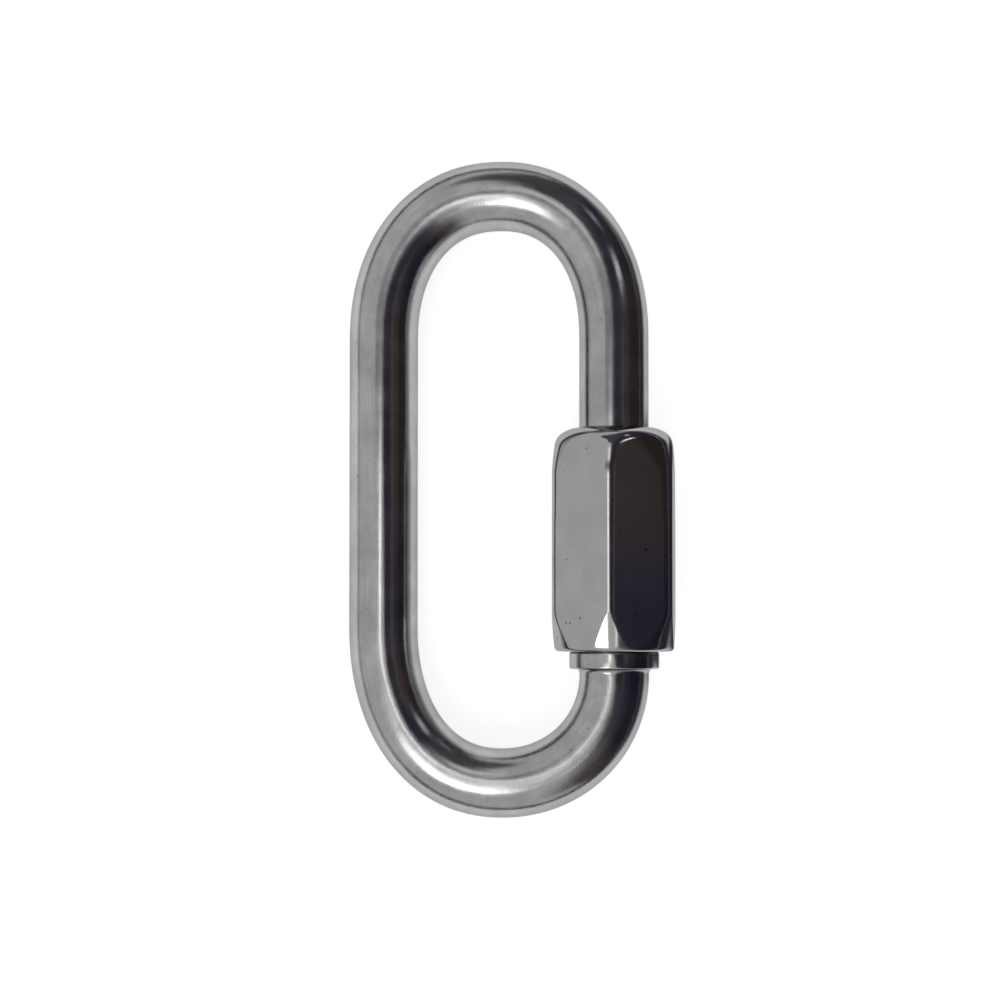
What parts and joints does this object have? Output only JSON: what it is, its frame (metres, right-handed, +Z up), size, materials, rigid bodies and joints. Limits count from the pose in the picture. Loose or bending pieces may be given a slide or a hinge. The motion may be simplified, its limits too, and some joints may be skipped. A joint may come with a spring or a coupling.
{
  "type": "chain quick link",
  "caption": "Oval loop of polished stainless rod for joining chain, opened and closed by a long hexagonal sleeve nut that screws along its gate.",
  "frame": {"origin": "on the ground, under the middle of the link's outline seen from above, with the link lying as it comes to rest", "axes": "+Y along the link's length, with the collar of the gate towards -Y; +X towards the leg that holds the sleeve nut; +Z up"},
  "size_m": [0.0284, 0.057, 0.0114],
  "materials": {
    "rod_steel": "polished, with a faint drawn grain on the legs and a slight orange peel on the bends",
    "nut_steel": "polished, with a few small pits"
  },
  "bodies": {
    "link": {"link_body": "rod_steel"},
    "nut": {"sleeve_nut": "nut_steel"}
  },
  "joints": [
    {"name": "nut_travel", "type": "slide", "parent": "link", "child": "nut", "axis": [0, 1, 0], "range_m": [0, 0.0087]}
  ]
}
